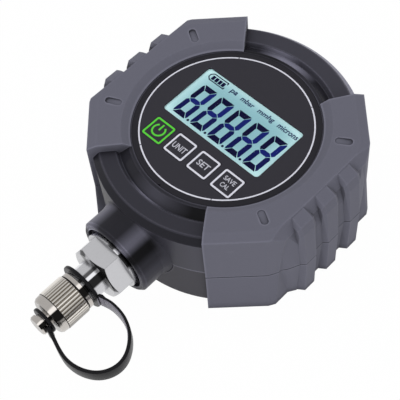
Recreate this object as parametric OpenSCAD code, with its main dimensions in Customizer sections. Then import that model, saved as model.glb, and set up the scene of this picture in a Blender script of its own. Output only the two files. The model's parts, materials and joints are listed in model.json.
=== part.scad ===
// Digital vacuum gauge: a round instrument that lies on its rear face, with its dial facing +Z.
// +X is the text's right, +Y is 12 o'clock, and the port points to -Y. Millimetres.
// The origin is the middle of the rear face.

/* [Dial] */
// Radius of the printed ring on the dial
ring_r = 31; // [29:0.5:32]
// Height of the dial's printed face above the rear face
dial_h = 40.5; // [40:0.5:46]
// Margin of the overlay outside the printed ring
ring_margin = 2.5; // [2:0.1:3]
// Thickness of the overlay
overlay_t = 0.6; // [0.5:0.05:0.8]
// Width of the display's window
lcd_w = 45.8; // [42:0.2:47]
// Height of the display's window
lcd_h = 24.6; // [22:0.2:25]
// Distance of the display's centre above the dial's centre
lcd_y = 3.1; // [2.6:0.1:4]
// Side of a key
key_side = 9.2; // [8.6:0.1:9.4]
// Distance of the keys' row below the dial's centre
key_row = 17.4; // [17:0.1:18]
// Travel of a key
key_travel = 0.4; // [0.2:0.05:0.5]

/* [Housing] */
// Width of the flat band round the front face
band_w = 6; // [5:0.1:9]
// Thickness of the housing's side wall
wall_t = 2.7; // [2.2:0.1:3]
// Thickness of the rear wall
rear_t = 2.5; // [2.2:0.1:3]
// Height of the parting line above the rear face
seam_h = 20; // [18:0.5:21]
// Width of the bevel round the front rim
rim_w = 2.3; // [1.5:0.1:3]
// Depth of the bevel round the front rim
rim_d = 3; // [2.6:0.1:4]

/* [Grips] */
// Distance that the ribs' valleys lie inside the round housing's radius
grip_cut = 1; // [0.8:0.1:1.5]
// Thickness of the rubber on the slanted flats
grip_t = 0.7; // [0.6:0.1:2]
// Rise of the grips above the dial
grip_rise = 3.3; // [2.5:0.1:4]
// Outward slope of the grips' sides, over the whole height
grip_draft = 2.3; // [1:0.1:3]
// Height of a rib above its pad
rib_h = 1.6; // [0.8:0.1:2]
// Distance between two ribs
rib_pitch = 11.6; // [11.4:0.1:12]

/* [Port] */
// Height of the port's axis above the rear face
port_h = 21.7; // [21:0.1:22.5]
// Radius of the port boss
boss_r = 15.4; // [14.5:0.1:16]
// Distance that the boss stands out of the round housing
boss_reach = 9.8; // [9:0.2:13]
// Width of the hexagon across its flats
hex_af = 20; // [17:0.5:21]
// Length of the hexagon
hex_l = 7.6; // [6:0.2:9]
// Outer radius of the test port's thread
thread_r = 5.55; // [5.4:0.05:5.6]
// Pitch of the test port's thread
thread_pitch = 1.27; // [1:0.01:1.5]
// Outer radius of the protective cap
cap_r = 7.75; // [7.5:0.05:9]
// Length of the cap's fluted grip
flute_l = 9.2; // [8:0.2:11]

/* [Tether] */
// Width of the tether's strap
strap_w = 6; // [5:0.1:7]
// Thickness of the tether's strap
strap_t = 1.3; // [1:0.1:1.6]
// Outer radius of the ring on the neck
neck_ring_r = 9; // [8.6:0.1:10]
// Outer radius of the ring on the cap's tip
cap_ring_r = 5.1; // [4.6:0.1:5.6]

/* [Power] */
// Radius of a battery cell
cell_r = 5.2; // [5:0.05:5.25]
// Length of a battery cell
cell_l = 44; // [42:0.5:44.5]
// Distance of the battery's middle above the dial's centre
bat_y = 21; // [20.5:0.1:21.5]
// Thickness of the battery door
door_t = 1.9; // [1.6:0.05:2]

/* [Hidden] */
$fn = 96;

// Clearances and overruns
seat = 0.05;
slip = 0.1;
open_gap = 0.15;
over = 4;
edge = 0.25;

// Heights of the stack under the dial
deck_top = dial_h - overlay_t;
deck_t = 1.9;
deck_ledge = 1;
deck_bottom = deck_top - deck_t;
ceiling_d = 5;
ceiling_z = dial_h - ceiling_d;
board_d = 7.3;
board_t = 1.6;
board_top = dial_h - board_d;
board_bottom = board_top - board_t;

// Front face, from the overlay outwards
overlay_r = ring_r + ring_margin;
bezel_w = 1.9;
bezel_r = overlay_r + bezel_w;
slope_w = 3.2;
groove_r = bezel_r + slope_w;
rise_w = 1.3;
band_in_r = groove_r + rise_w;
band_out_r = band_in_r + band_w;
body_r = band_out_r + rim_w;
far = 3 * body_r;
bezel_round = 0.35;
groove_d = 2.5;
band_in_d = 0.9;
band_out_d = 0.3;
rim_round = 0.25;

// Plan of the housing
inner_r = body_r - wall_t;
grip_side_t = 2.6;
grip_x = body_r - grip_cut;
flat_x = grip_x - grip_side_t;
inner_x = flat_x - wall_t;
foot_round = 0.5;
housing_seal_t = 1;
seal_in = 0.7;

// Screw pillars of the housing
pillar_az = 40.2;
pillar_r = 3.5;
pillar_in = 2.9;
pillar_ring = inner_r - pillar_in;
pillar_xy = [for (a = [pillar_az, 180 - pillar_az, 180 + pillar_az, -pillar_az])
    pillar_ring * [cos(a), sin(a)]];
screw_r = 1.5;
screw_tip_room = 2;
screw_hole_r = 1.75;
screw_head_r = 2.8;
screw_head_t = 2.2;
screw_bore_r = 3.1;
screw_sink = 0.8;
screw_grip = 9;
cross_w = 0.6;
cross_share = 0.7;
cross_d = 0.5;

// Board and its screws
board_gap = 2.5;
board_r = inner_r - board_gap;
board_side_gap = 0.9;
board_x = inner_x - board_side_gap;
pillar_gap = 0.5;
pad_az = 15;
pad_in = 2.5;
pad_ring = board_x - pad_in;
pad_r = 2.4;
pad_xy = [for (a = [pad_az, 180 - pad_az, 180 + pad_az, -pad_az]) pad_ring * [cos(a), sin(a)]];
board_screw_r = 0.9;
board_screw_head_r = 1.9;
board_screw_head_t = 1.3;
board_screw_bite = 3;

// Display
lcd_corner = 1.4;
glass_t = 2;
glass_play = 0.2;
light_t = 3.6;
light_rim = 2;
holder_t = 1.4;
holder_foot = 1;

// Keys
key_gap = 2.1;
power_shift = 0.5;
key_pitch = key_side + key_gap;
key_x = [power_shift - 1.5 * key_pitch, -0.5 * key_pitch, 0.5 * key_pitch, 1.5 * key_pitch];
key_corner = 0.6;
key_flange = 0.5;
key_flange_t = 0.7;
key_stem_r = 1.7;
stem_l = 1.8;
switch_side = 6;
switch_gap = 0.6;

// Index notch in the overlay's rim
notch_w = 1.2;
notch_d = 0.6;

// Grips
end_az = 57.6;
end_dir = 52.3;
grip_over = 1.5;
grip_start = overlay_r - grip_over;
grip_bezel = 0.6;
grip_in_r = overlay_r + grip_bezel;
grip_lip = 0.35;
grip_slope_w = 3.1;
grip_crest_r = grip_in_r + grip_slope_w;
grip_crest = 2.5;
grip_top_x = 4.2;
grip_mid_x = 1.3;
grip_mid_d = 0.9;
grip_top_d = 3.5;
grip_wall_rise = 2.1;
ledge_d = 3;
grip_flat_t = 0.7;
grip_flat_x = flat_x + grip_flat_t;
grip_draft_x = 0.8;
draft_share = 0.2;
grip_foot = 0.5;
corner_out = 2.1;
corner_r = body_r + corner_out;
wrap_t = 1.2;
wrap_w = 1.9;
seam_gap = 0.2;
mark_az = 29.5;
mark_r = (grip_crest_r + band_out_r) / 2;
mark_l = 6.1;
mark_w = 2.7;
mark_d = 0.9;

// Pad under the ribs, on each grip's flat
pad_sink = 2.2;
pad_side_x = 0.4;
pad_out = 1.5;
pad_base_half = 22.2;
pad_side_half = 19.9;
pad_half = 15.9;
pad_foot_in = 1.4;
pad_foot_x = 0.6;
pad_foot_base_half = 19.4;
pad_foot_half = 16.2;
pad_bend_d = 7.5;
pad_bend_x = 0.4;
pad_end_x = 1.5;
pad_end_d = 1;
pad_end_half = 19;
pad_x = grip_x + pad_out;

// Ribs on the pad
rib_out_half = 2.5;
rib_root = 0.9;
rib_root_half = 4.85;
rib_foot_drop = 0.1;
rib_bend_drop = 1.65;
rib_bend_half = 2.6;
rib_bend_root = 1.5;
rib_bend_root_half = 4.4;
head_drop = 2.9;
head_rise = 0.7;
head_half = 2.8;
flank_half = 4;
flank_low_x = 0.7;
flank_high_x = 0.3;
flank_high_d = 0.3;
head_root = 2.6;
head_root_half = 4;
head_in = 6.7;
head_in_rise = 2.8;
head_end = 7.5;
head_end_rise = 2.9;
head_end_root_rise = 1.9;
head_end_root = 4;
head_end_half = 3.5;
rib_x = pad_x + rib_h;

// Port fitting, along the port's axis from the dial's centre
boss_inset = 4.5;
boss_in = inner_r - boss_inset;
boss_end = body_r + boss_reach;
boss_wall = 3.5;
boss_bore_r = boss_r - boss_wall;
boss_web = 3.4;
lip_d = 1.6;
lip_t = 2.4;
lip_round = 1;
boss_fillet = 0.9;
shank_r = 7;
shank_gap = 5;
shank_in = boss_in + shank_gap;
neck_step = 0.8;
neck_r = thread_r + neck_step;
collar_gap = 1.4;
collar_r = boss_r - lip_t - collar_gap;
collar_sink = 1.1;
collar_in = boss_end - collar_sink;
collar_t = 2.4;
hex_in = collar_in + collar_t;
hex_end = hex_in + hex_l;
hex_chamfer = 1.3;
hex_face_r = 9.6;
ring_t = 2;
ring_off = 5.1;
ring_seat = hex_end + ring_off;
ring_end = ring_seat + ring_t;
thread_in = ring_end + open_gap;
thread_turns = 6;
groove_depth = 0.5;
groove_share = 0.4;
stub_l = 9.8;
stub_end = thread_in + stub_l;
nose_l = 1.8;
nose_r = 3.6;
port_bore_r = 2.5;
spigot_r = 5;
spigot_l = 4;
nut_t = 4.5;
nut_gap = 0.5;
gasket_w = 2.4;

// Sensor
sensor_r = 9;
sensor_l = 12.4;
sensor_gap = 2.6;
board_cut_y = shank_in - sensor_l - sensor_gap;
lead_r = 0.5;
lead_pitch = 2.6;
lead_run = 3;
lead_bend = 2.5;

// Protective cap, along the same axis
cap_in = thread_in;
flange_l = 1.8;
flange_step = 0.45;
flange_r = cap_r - flange_step;
neck_groove = 0.4;
neck_groove_d = 0.4;
flute_count = 40;
flute_d = 0.5;
flute_share = 0.42;
flute_in = cap_in + flange_l + neck_groove;
flute_end = flute_in + flute_l;
shoulder_l = 2;
shoulder_drop = 0.3;
nose_drop = 1.05;
nose_cap_l = 1.1;
cap_face = flute_end + shoulder_l + nose_cap_l;
tip_r = 2.9;
tip_l = 2.9;
button_r = 3.8;
button_l = 1.9;
button_bevel = 0.5;
cap_room = 1.3;
cap_bore_end = stub_end + cap_room;
cap_seal_t = 0.9;
cap_ring_t = 1.6;
cap_ring_gap = 0.6;
cap_ring_in = cap_face + cap_ring_gap;

// Tether
ring_round = 0.4;
lug_l = 1.6;
lug_t = 1.9;
neck_lug_az = 8;
cap_lug_az = -18;
neck_ring_y = -(ring_seat + ring_t / 2);
cap_ring_y = -(cap_ring_in + cap_ring_t / 2);
neck_lug_dir = [cos(neck_lug_az), sin(neck_lug_az)];
cap_lug_dir = [cos(cap_lug_az), sin(cap_lug_az)];
strap_in = [0, neck_ring_y] + (neck_ring_r + lug_l + seat) * neck_lug_dir;
strap_out = [0, cap_ring_y] + (cap_ring_r + lug_l + seat) * cap_lug_dir;
// Middle line of the strap from the neck's ring round to the cap's ring
strap_route = [strap_in, [13.2, -71], [17, -71.1], [20.8, -71.9], [24.8, -73.8], [28.1, -76.8],
    [30.4, -80.5], [31.1, -84.3], [30.2, -88], [28, -91.1], [24.8, -93.3], [21, -94.6],
    [16.8, -94.9], [12.6, -94.1], [9.1, -93], strap_out];
strap_steps = 3;

// Battery box, door and hinge
cell_gap = 0.4;
cell_play = 0.3;
cell_z = door_t + cell_gap + cell_r;
cell_off = cell_r + cell_gap;
nub = 0.8;
nub_share = 0.4;
contact_t = 0.4;
contact_play = 0.9;
contact_share = 0.9;
coil_low_share = 0.45;
coil_high_share = 0.8;
box_wall = 1.4;
box_x = cell_l / 2 + contact_t + contact_play;
box_half_y = cell_off + cell_r + cell_play;
box_top = cell_z + cell_r + cell_gap;
ledge = 1.1;
door_x = box_x + ledge;
door_low = bat_y - box_half_y - ledge;
door_high = bat_y + box_half_y + ledge;
hinge_z = door_t / 2;
hinge_y = door_high - door_t / 2;
hinge_pin_r = 0.7;
hinge_pin_l = 1.2;
hinge_slip = 0.06;
hinge_room = 0.2;
ear_r = 3.3;
ear_out = 2;
ear_y = door_low - ear_out;
door_screw_r = 1.25;
door_screw_hole = 1.6;
door_head_r = 2.4;
door_head_t = 1;
door_screw_tip = 4.6;
door_boss_h = 6;
door_boss_r = 3.4;
wire_r = 0.6;
wire_out = 0.5;
wire_x = box_x + box_wall + wire_out;
wire_hole_r = wire_r + open_gap;

// Colours
c_black = [0.12, 0.12, 0.13];
c_grey = [0.40, 0.40, 0.44];
c_metal = [0.78, 0.77, 0.75];
c_rubber = [0.10, 0.10, 0.11];
c_board = [0.08, 0.32, 0.18];
c_white = [0.92, 0.92, 0.90];

// Turns a shape about the port's axis, with its own z as the distance from the dial's centre
module port_axis() {
    translate([0, 0, port_h]) rotate([90, 0, 0]) children();
}

// Ring of rectangular section about z
module ring(r_out, r_in, h) {
    difference() {
        cylinder(r = r_out, h = h);
        translate([0, 0, -over]) cylinder(r = r_in, h = h + 2 * over);
    }
}

// Upright bar with rounded upright edges
module rounded_bar(size, r) {
    w = size[0] / 2 - r;
    d = size[1] / 2 - r;
    linear_extrude(size[2]) union() {
        square([2 * w, size[1]], center = true);
        square([size[0], 2 * d], center = true);
        for (x = [-w, w], y = [-d, d]) translate([x, y]) circle(r);
    }
}

// Convex solid through a list of points
module hull_of(points) {
    hull() polyhedron(points, [for (i = [1:len(points) - 2]) [0, i, i + 1]]);
}

// Profile that is mirrored in x, pulled along y and turned to one of the grips' flats
module slab(points, turn) {
    mirrored = [for (i = [len(points) - 1:-1:0]) [-points[i][0], points[i][1]]];
    rotate([0, 0, turn]) rotate([90, 0, 0])
        linear_extrude(2 * far, center = true) polygon(concat(points, mirrored));
}

// Round outline that is cut flat on the two sides under the ribs
module plan(r, x) {
    intersection() {
        circle(r);
        square([2 * x, 2 * far], center = true);
    }
}

// Outer form of the closed housing, grown on every side by g
module housing_form(g) {
    intersection() {
        rotate_extrude() polygon([
            [0, -g], [body_r - foot_round, -g], [body_r + g, foot_round],
            [body_r + g, dial_h - rim_d + g],
            [band_out_r + g, dial_h - band_out_d - rim_round + g],
            [band_out_r - rim_round, dial_h - band_out_d + g],
            [band_in_r, dial_h - band_in_d + g], [groove_r + rise_w / 4, dial_h - groove_d + g],
            [groove_r, dial_h - groove_d + g], [bezel_r + g, dial_h - bezel_round + g],
            [bezel_r - bezel_round, dial_h + g], [0, dial_h + g]]);
        translate([0, 0, -over])
            linear_extrude(dial_h + 2 * over) square([2 * (flat_x + g), 2 * far], center = true);
    }
}

// Upright hole or peg at each of a list of places
module at_places(places) {
    for (p = places) translate([p[0], p[1], 0]) children();
}

module key_places() {
    for (x = key_x) translate([x, -key_row, 0]) children();
}

// Boss of the port with its base fillet, grown on every side by g and as long as end
module boss_form(g, end) {
    port_axis() rotate_extrude() polygon([
        [0, boss_in - g], [boss_r + boss_fillet + g, boss_in - g],
        [boss_r + boss_fillet + g, inner_r], [boss_r + g, body_r + boss_fillet],
        [boss_r + g, end - lip_round], [boss_r + g - lip_round, end], [0, end]]);
}

module front_shell() {
    difference() {
        housing_form(0);
        translate([0, 0, -over]) linear_extrude(over + seam_h) square(2 * far, center = true);
        translate([0, 0, seam_h - over]) linear_extrude(over + ceiling_z - seam_h)
            plan(inner_r, inner_x);
        cylinder(r = overlay_r - deck_ledge, h = deck_bottom);
        rotate_extrude() polygon([
            [body_r - edge, seam_h - edge], [body_r + edge, seam_h - edge],
            [body_r + edge, seam_h + edge]]);
    }
}

module front_housing() {
    color(c_black) difference() {
        union() {
            front_shell();
            boss_form(0, boss_end);
            at_places(pillar_xy) translate([0, 0, seam_h])
                cylinder(r = pillar_r, h = ceiling_z - seam_h + edge);
            at_places(pad_xy) translate([0, 0, board_top])
                cylinder(r = pad_r, h = ceiling_z - board_top + edge);
        }
        translate([0, 0, deck_top]) cylinder(r = overlay_r + open_gap, h = over);
        translate([0, lcd_y, deck_bottom - over])
            rounded_bar([lcd_w + 2 * glass_play, lcd_h + 2 * glass_play, 2 * over], lcd_corner);
        key_places() translate([0, 0, deck_bottom - over])
            rounded_bar([key_side + 2 * slip, key_side + 2 * slip, 3 * over], key_corner);
        at_places(pillar_xy) translate([0, 0, seam_h - over])
            cylinder(r = screw_r + seat, h = over + screw_grip + screw_tip_room);
        at_places(pad_xy) translate([0, 0, board_top - over])
            cylinder(r = board_screw_r + seat, h = over + board_screw_bite + seat);
        port_axis() {
            translate([0, 0, boss_in - over])
                cylinder(r = boss_bore_r, h = over + boss_end - lip_d - boss_web - boss_in);
            cylinder(r = shank_r + slip, h = boss_end);
            translate([0, 0, boss_end - lip_d]) cylinder(r = boss_r - lip_t, h = over);
        }
    }
}

// The corner of the grips' rear lip, as the space between two outlines
module wrap_space(g) {
    intersection() {
        translate([0, 0, -over]) linear_extrude(over + wrap_t + g) difference() {
            circle(far);
            plan(body_r - wrap_w - g, flat_x - wrap_w - g);
        }
        union() {
            grip_sector(g);
            mirror([1, 0, 0]) grip_sector(g);
        }
    }
}

module rear_housing() {
    door_recess = door_x + hinge_room;
    color(c_black) difference() {
        union() {
            difference() {
                housing_form(0);
                translate([0, 0, seam_h]) linear_extrude(dial_h) square(2 * far, center = true);
                translate([0, 0, rear_t]) linear_extrude(dial_h) plan(inner_r, inner_x);
            }
            at_places(pillar_xy) translate([0, 0, rear_t - edge])
                cylinder(r = pillar_r, h = seam_h - rear_t + edge);
            translate([0, bat_y, rear_t - edge]) rounded_bar([2 * (box_x + box_wall),
                2 * (box_half_y + box_wall), box_top + box_wall - rear_t + edge], box_wall);
            translate([0, ear_y, rear_t - edge]) cylinder(r = door_boss_r, h = door_boss_h);
        }
        rotate_extrude() polygon([
            [body_r + edge, seam_h - edge], [body_r + edge, seam_h + edge],
            [body_r - edge, seam_h + edge]]);
        translate([0, 0, seam_h - housing_seal_t]) linear_extrude(over) difference() {
            plan(body_r - seal_in, flat_x - seal_in);
            plan(inner_r + seal_in, inner_x + seal_in);
        }
        boss_form(open_gap, boss_end + over);
        at_places(pillar_xy) {
            translate([0, 0, -over]) cylinder(r = screw_hole_r, h = seam_h + 2 * over);
            translate([0, 0, -over]) cylinder(r = screw_bore_r, h = over + screw_sink + screw_head_t);
        }
        translate([0, bat_y, -over])
            rounded_bar([2 * box_x, 2 * box_half_y, over + box_top], box_wall);
        translate([-door_recess, door_low - hinge_room, -over])
            cube([2 * door_recess, door_high - door_low + 2 * hinge_room, over + door_t + seat]);
        translate([0, ear_y, -over]) cylinder(r = ear_r + hinge_room, h = over + door_t + seat);
        translate([-ear_r - hinge_room, ear_y, -over])
            cube([2 * (ear_r + hinge_room), door_low - ear_y, over + door_t + seat]);
        translate([0, ear_y, -over]) cylinder(r = door_screw_hole, h = over + door_boss_h);
        translate([-door_recess - hinge_pin_l, hinge_y, hinge_z]) rotate([0, 90, 0])
            cylinder(r = hinge_pin_r + hinge_slip, h = 2 * (door_recess + hinge_pin_l));
        for (s = [-1, 1]) translate([s * box_x, bat_y - cell_off, cell_z])
            rotate([0, s * 90, 0]) cylinder(r = wire_hole_r, h = over);
        wrap_space(seat);
    }
}

// Upright prism over the stretch that the right grip covers, narrowed by -g at its ends
module grip_sector(g) {
    start = grip_start * [cos(end_az), sin(end_az)] + g * [-sin(end_dir), cos(end_dir)];
    reach = start + 2 * body_r * [cos(end_dir), sin(end_dir)];
    translate([0, 0, -over]) linear_extrude(dial_h + 3 * over) polygon([
        start, reach, [far, reach[1]], [far, -reach[1]], [reach[0], -reach[1]],
        [start[0], -start[1]]]);
}

// Outer form of both grips, before the pads are added and the housing is taken out of it
module grip_form() {
    top = dial_h + grip_rise;
    slant = body_r + grip_t;
    belt = draft_share * grip_draft;
    x_profile = [
        [grip_flat_x + grip_draft_x - grip_foot, 0], [grip_flat_x + grip_draft_x, grip_foot],
        [grip_flat_x, seam_h], [grip_x - grip_mid_x, dial_h - grip_mid_d],
        [grip_x - grip_top_x, top]];
    slant_profile = [[slant + grip_draft - grip_foot, 0], [slant + grip_draft, grip_foot],
        [slant + belt, seam_h], [slant, dial_h + grip_wall_rise],
        [slant - grip_top_d, top]];
    intersection() {
        slab(x_profile, 0);
        slab(slant_profile, 45);
        slab(slant_profile, -45);
        rotate_extrude() polygon([
            [0, 0], [corner_r + grip_draft - grip_foot, 0], [corner_r + grip_draft, grip_foot],
            [corner_r + belt, seam_h], [corner_r, dial_h + grip_wall_rise],
            [corner_r - grip_top_d, top + seat], [band_out_r, top], [grip_crest_r, dial_h + grip_crest],
            [grip_in_r, dial_h + grip_lip], [0, dial_h + grip_lip]]);
    }
}

// Convex block through a list of heights, each with its points in x and their half width in y
module block(levels) {
    hull_of([for (v = levels, p = v[1], s = [-1, 1]) [p[0], s * p[1], v[0]]]);
}

// Pad and ribs above the parting line, from height low up to the crest
module front_pad(low) {
    block([
        [low, [[grip_x - pad_sink, pad_base_half], [grip_x - pad_side_x, pad_side_half],
            [pad_x, pad_half]]],
        [dial_h - pad_bend_d, [[grip_x - pad_sink, pad_base_half],
            [grip_x + pad_bend_x, pad_half]]],
        [dial_h - pad_end_d, [[grip_x - pad_end_x, pad_end_half]]]]);
    for (i = [-1:1]) translate([0, i * rib_pitch, 0]) block([
        [low, [[pad_x - rib_root, rib_root_half], [rib_x, rib_out_half]]],
        [dial_h - ledge_d, [[grip_x - rib_bend_root, rib_bend_root_half],
            [grip_x + flank_low_x, flank_half], [rib_x - rib_bend_drop, rib_bend_half]]],
        [dial_h - flank_high_d, [[grip_x - flank_high_x, flank_half]]],
        [dial_h + head_rise, [[grip_x - head_root, head_root_half],
            [rib_x - head_drop, head_half]]],
        [dial_h + head_end_root_rise, [[grip_x - head_end_root, head_end_half]]],
        [dial_h + head_in_rise, [[rib_x - head_in, head_half]]],
        [dial_h + head_end_rise, [[rib_x - head_end, head_half]]]]);
}

// Pad and ribs below the parting line, up to height high
module rear_pad(high) {
    block([
        [grip_foot, [[grip_x - pad_foot_in, pad_foot_base_half],
            [grip_x + pad_foot_x, pad_foot_half]]],
        [high, [[grip_x - pad_sink, pad_base_half], [grip_x - pad_side_x, pad_side_half],
            [pad_x, pad_half]]]]);
    for (i = [-1:1]) translate([0, i * rib_pitch, 0]) block([
        [grip_foot, [[grip_x + pad_foot_x - rib_root, rib_root_half],
            [rib_x - rib_foot_drop, rib_out_half]]],
        [high, [[pad_x - rib_root, rib_root_half], [rib_x, rib_out_half]]]]);
}

module front_grip() {
    low = seam_h + seam_gap / 2;
    difference() {
        union() {
            intersection() {
                grip_form();
                grip_sector(0);
                translate([0, 0, low]) cylinder(r = far, h = far);
            }
            front_pad(low);
        }
        housing_form(seat);
        translate([0, 0, -over]) cylinder(r = grip_in_r, h = dial_h + 3 * over);
        for (s = [-1, 1]) rotate([0, 0, s * mark_az])
            translate([mark_r, 0, dial_h + grip_rise - mark_d])
            rounded_bar([mark_l, mark_w, over], mark_w / 2 - seat);
    }
}

module rear_grip() {
    high = seam_h - seam_gap / 2;
    difference() {
        union() {
            intersection() {
                grip_form();
                grip_sector(0);
                translate([0, 0, -over]) cylinder(r = far, h = over + high);
            }
            rear_pad(high);
        }
        difference() {
            housing_form(seat);
            wrap_space(0);
        }
        translate([0, 0, -over]) linear_extrude(over + wrap_t)
            plan(body_r - wrap_w, flat_x - wrap_w);
    }
}

module front_right_grip() {
    color(c_grey) front_grip();
}

module front_left_grip() {
    color(c_grey) mirror([1, 0, 0]) front_grip();
}

module rear_right_grip() {
    color(c_grey) rear_grip();
}

module rear_left_grip() {
    color(c_grey) mirror([1, 0, 0]) rear_grip();
}

module dial_overlay() {
    color(c_black) difference() {
        translate([0, 0, deck_top + seat / 2]) cylinder(r = overlay_r, h = overlay_t - seat / 2);
        translate([0, lcd_y, deck_top - over])
            rounded_bar([lcd_w, lcd_h, 3 * over], lcd_corner);
        key_places() translate([0, 0, deck_top - over])
            rounded_bar([key_side + 2 * slip, key_side + 2 * slip, 3 * over], key_corner);
        translate([0, -overlay_r, deck_top - over]) rotate([0, 0, 45])
            cube([notch_w, notch_d, 6 * over], center = true);
    }
}

module display_window() {
    color([0.8, 0.95, 0.95, 0.3]) translate([0, lcd_y, deck_top])
        rounded_bar([lcd_w - 2 * seat, lcd_h - 2 * seat, overlay_t], lcd_corner - seat);
}

// A key with the flange that holds it under the deck and the stem that works its switch
module key(i) {
    flange = key_side + 2 * key_flange;
    translate([key_x[i], -key_row, 0]) {
        translate([0, 0, deck_bottom - seat - key_flange_t])
            rounded_bar([key_side, key_side, key_flange_t + deck_t + seat + overlay_t], key_corner);
        translate([0, 0, deck_bottom - seat - key_flange_t])
            rounded_bar([flange, flange, key_flange_t], key_corner);
        translate([0, 0, deck_bottom - seat - key_flange_t - stem_l])
            cylinder(r = key_stem_r, h = stem_l + seat);
    }
}

module power_key() {
    color(c_black) key(0);
}

module unit_key() {
    color(c_black) key(1);
}

module set_key() {
    color(c_black) key(2);
}

module save_key() {
    color(c_black) key(3);
}

module tact_switches() {
    high = deck_bottom - seat - key_flange_t - switch_gap;
    low = high - stem_l;
    color(c_rubber) key_places() difference() {
        translate([0, 0, board_top]) rounded_bar([switch_side, switch_side, high - board_top],
            key_corner);
        translate([0, 0, low]) cylinder(r = key_stem_r + slip, h = over);
    }
}

module lcd_glass() {
    color([0.70, 0.90, 0.88]) translate([0, lcd_y, deck_top - seat - glass_t])
        rounded_bar([lcd_w + 2 * seat, lcd_h + 2 * seat, glass_t], lcd_corner - seat);
}

module lcd_backlight() {
    top = deck_top - seat - glass_t;
    color(c_white) translate([0, lcd_y, top - light_t])
        rounded_bar([lcd_w + light_rim, lcd_h + light_rim, light_t - seat], lcd_corner);
}

// Frame that stands on the board and holds the glass and its light
module lcd_holder() {
    w = lcd_w + light_rim;
    h = lcd_h + light_rim;
    top = deck_bottom - slip;
    floor_z = deck_top - glass_t - light_t - 2 * seat;
    color(c_white) translate([0, lcd_y, 0]) difference() {
        translate([0, 0, board_top])
            rounded_bar([w + 2 * holder_t, h + 2 * holder_t, top - board_top], lcd_corner);
        translate([0, 0, floor_z]) rounded_bar([w + 2 * slip, h + 2 * slip, over * 2], lcd_corner);
        translate([0, 0, board_top - over])
            rounded_bar([w - 2 * holder_foot, h - 2 * holder_foot, 2 * over], lcd_corner);
    }
}

module main_board() {
    color(c_board) difference() {
        translate([0, 0, board_bottom]) linear_extrude(board_t) plan(board_r, board_x);
        translate([-far / 2, -board_cut_y - far, board_bottom - over])
            cube([far, far, board_t + 2 * over]);
        at_places(pillar_xy) translate([0, 0, board_bottom - over])
            cylinder(r = pillar_r + pillar_gap, h = board_t + 2 * over);
        at_places(pad_xy) translate([0, 0, board_bottom - over])
            cylinder(r = board_screw_r + slip, h = board_t + 2 * over);
    }
}

// Components under the board, in shares of the board's radius: middle, size and height
chip_shares = [[-0.15, -0.1, 0.24, 0.24, 0.035], [0.35, -0.2, 0.14, 0.1, 0.04],
    [-0.5, 0.1, 0.1, 0.16, 0.04], [0.45, 0.12, 0.18, 0.08, 0.06], [0.0, -0.58, 0.22, 0.08, 0.09]];
can_shares = [[-0.45, -0.28, 0.06, 0.16], [-0.62, -0.2, 0.05, 0.14], [0.62, -0.3, 0.05, 0.12]];

module board_parts() {
    color(c_rubber) {
        for (c = chip_shares) translate(board_r * [c[0], c[1]])
            translate([0, 0, board_bottom - board_r * c[4]])
            linear_extrude(board_r * c[4]) square(board_r * [c[2], c[3]], center = true);
        for (c = can_shares) translate(board_r * [c[0], c[1]])
            translate([0, 0, board_bottom - board_r * c[3]])
            cylinder(r = board_r * c[2], h = board_r * c[3]);
    }
}

// Round-headed screw that points up, with its head's top side at height 0
module screw(r, head_r, head_t, l) {
    translate([0, 0, -head_t]) cylinder(r = head_r, h = head_t);
    cylinder(r = r, h = l);
}

module board_screws() {
    color(c_metal) at_places(pad_xy) translate([0, 0, board_bottom])
        screw(board_screw_r, board_screw_head_r, board_screw_head_t,
            board_t + board_screw_bite - edge);
}

module housing_seal() {
    color(c_rubber) difference() {
        translate([0, 0, seam_h - housing_seal_t + seat]) linear_extrude(housing_seal_t - seat)
            difference() {
                plan(body_r - seal_in - seat, flat_x - seal_in - seat);
                plan(inner_r + seal_in + seat, inner_x + seal_in + seat);
            }
        port_axis() cylinder(r = boss_r + boss_fillet + 2 * open_gap, h = far);
    }
}

module housing_screws() {
    length = seam_h + screw_grip - screw_sink - screw_head_t;
    color(c_metal) at_places(pillar_xy) difference() {
        translate([0, 0, screw_sink + screw_head_t])
            screw(screw_r, screw_head_r, screw_head_t, length);
        translate([0, 0, screw_sink])
            cube([screw_head_r, cross_w, screw_head_t], center = true);
        translate([0, 0, screw_sink])
            cube([cross_w, screw_head_r, screw_head_t], center = true);
    }
}

module port_fitting() {
    hex_r = hex_af / 2 / cos(30);
    tail = stub_end - nose_l;
    grooves = [for (i = [0:thread_turns - 1]) thread_in + thread_pitch * (i + 1)];
    color(c_metal) port_axis() difference() {
        union() {
            translate([0, 0, shank_in]) cylinder(r = shank_r, h = collar_in - shank_in + edge);
            translate([0, 0, collar_in]) cylinder(r = collar_r, h = collar_t);
            intersection() {
                translate([0, 0, hex_in - edge]) cylinder(r = hex_r, h = hex_l + edge, $fn = 6);
                rotate_extrude() polygon([
                    [0, hex_in - edge], [hex_r + edge, hex_in - edge],
                    [hex_r + edge, hex_end - hex_chamfer], [hex_face_r, hex_end], [0, hex_end]]);
            }
            translate([0, 0, hex_end - edge]) cylinder(r = neck_r, h = thread_in - hex_end + edge);
            translate([0, 0, thread_in - edge]) cylinder(r = thread_r, h = tail - thread_in + edge);
            translate([0, 0, tail]) cylinder(r1 = thread_r, r2 = nose_r, h = nose_l);
        }
        translate([0, 0, shank_in - over]) cylinder(r = port_bore_r, h = stub_end);
        translate([0, 0, shank_in - over]) cylinder(r = spigot_r + slip, h = over + spigot_l);
        for (g = grooves) translate([0, 0, g]) rotate_extrude() polygon([
            [thread_r - groove_depth, 0], [thread_r + edge, -thread_pitch * groove_share],
            [thread_r + edge, thread_pitch * groove_share]]);
    }
}

module port_gasket() {
    color(c_rubber) port_axis() translate([0, 0, boss_end - lip_d])
        ring(shank_r + gasket_w, shank_r + seat, collar_in - boss_end + lip_d);
}

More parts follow.
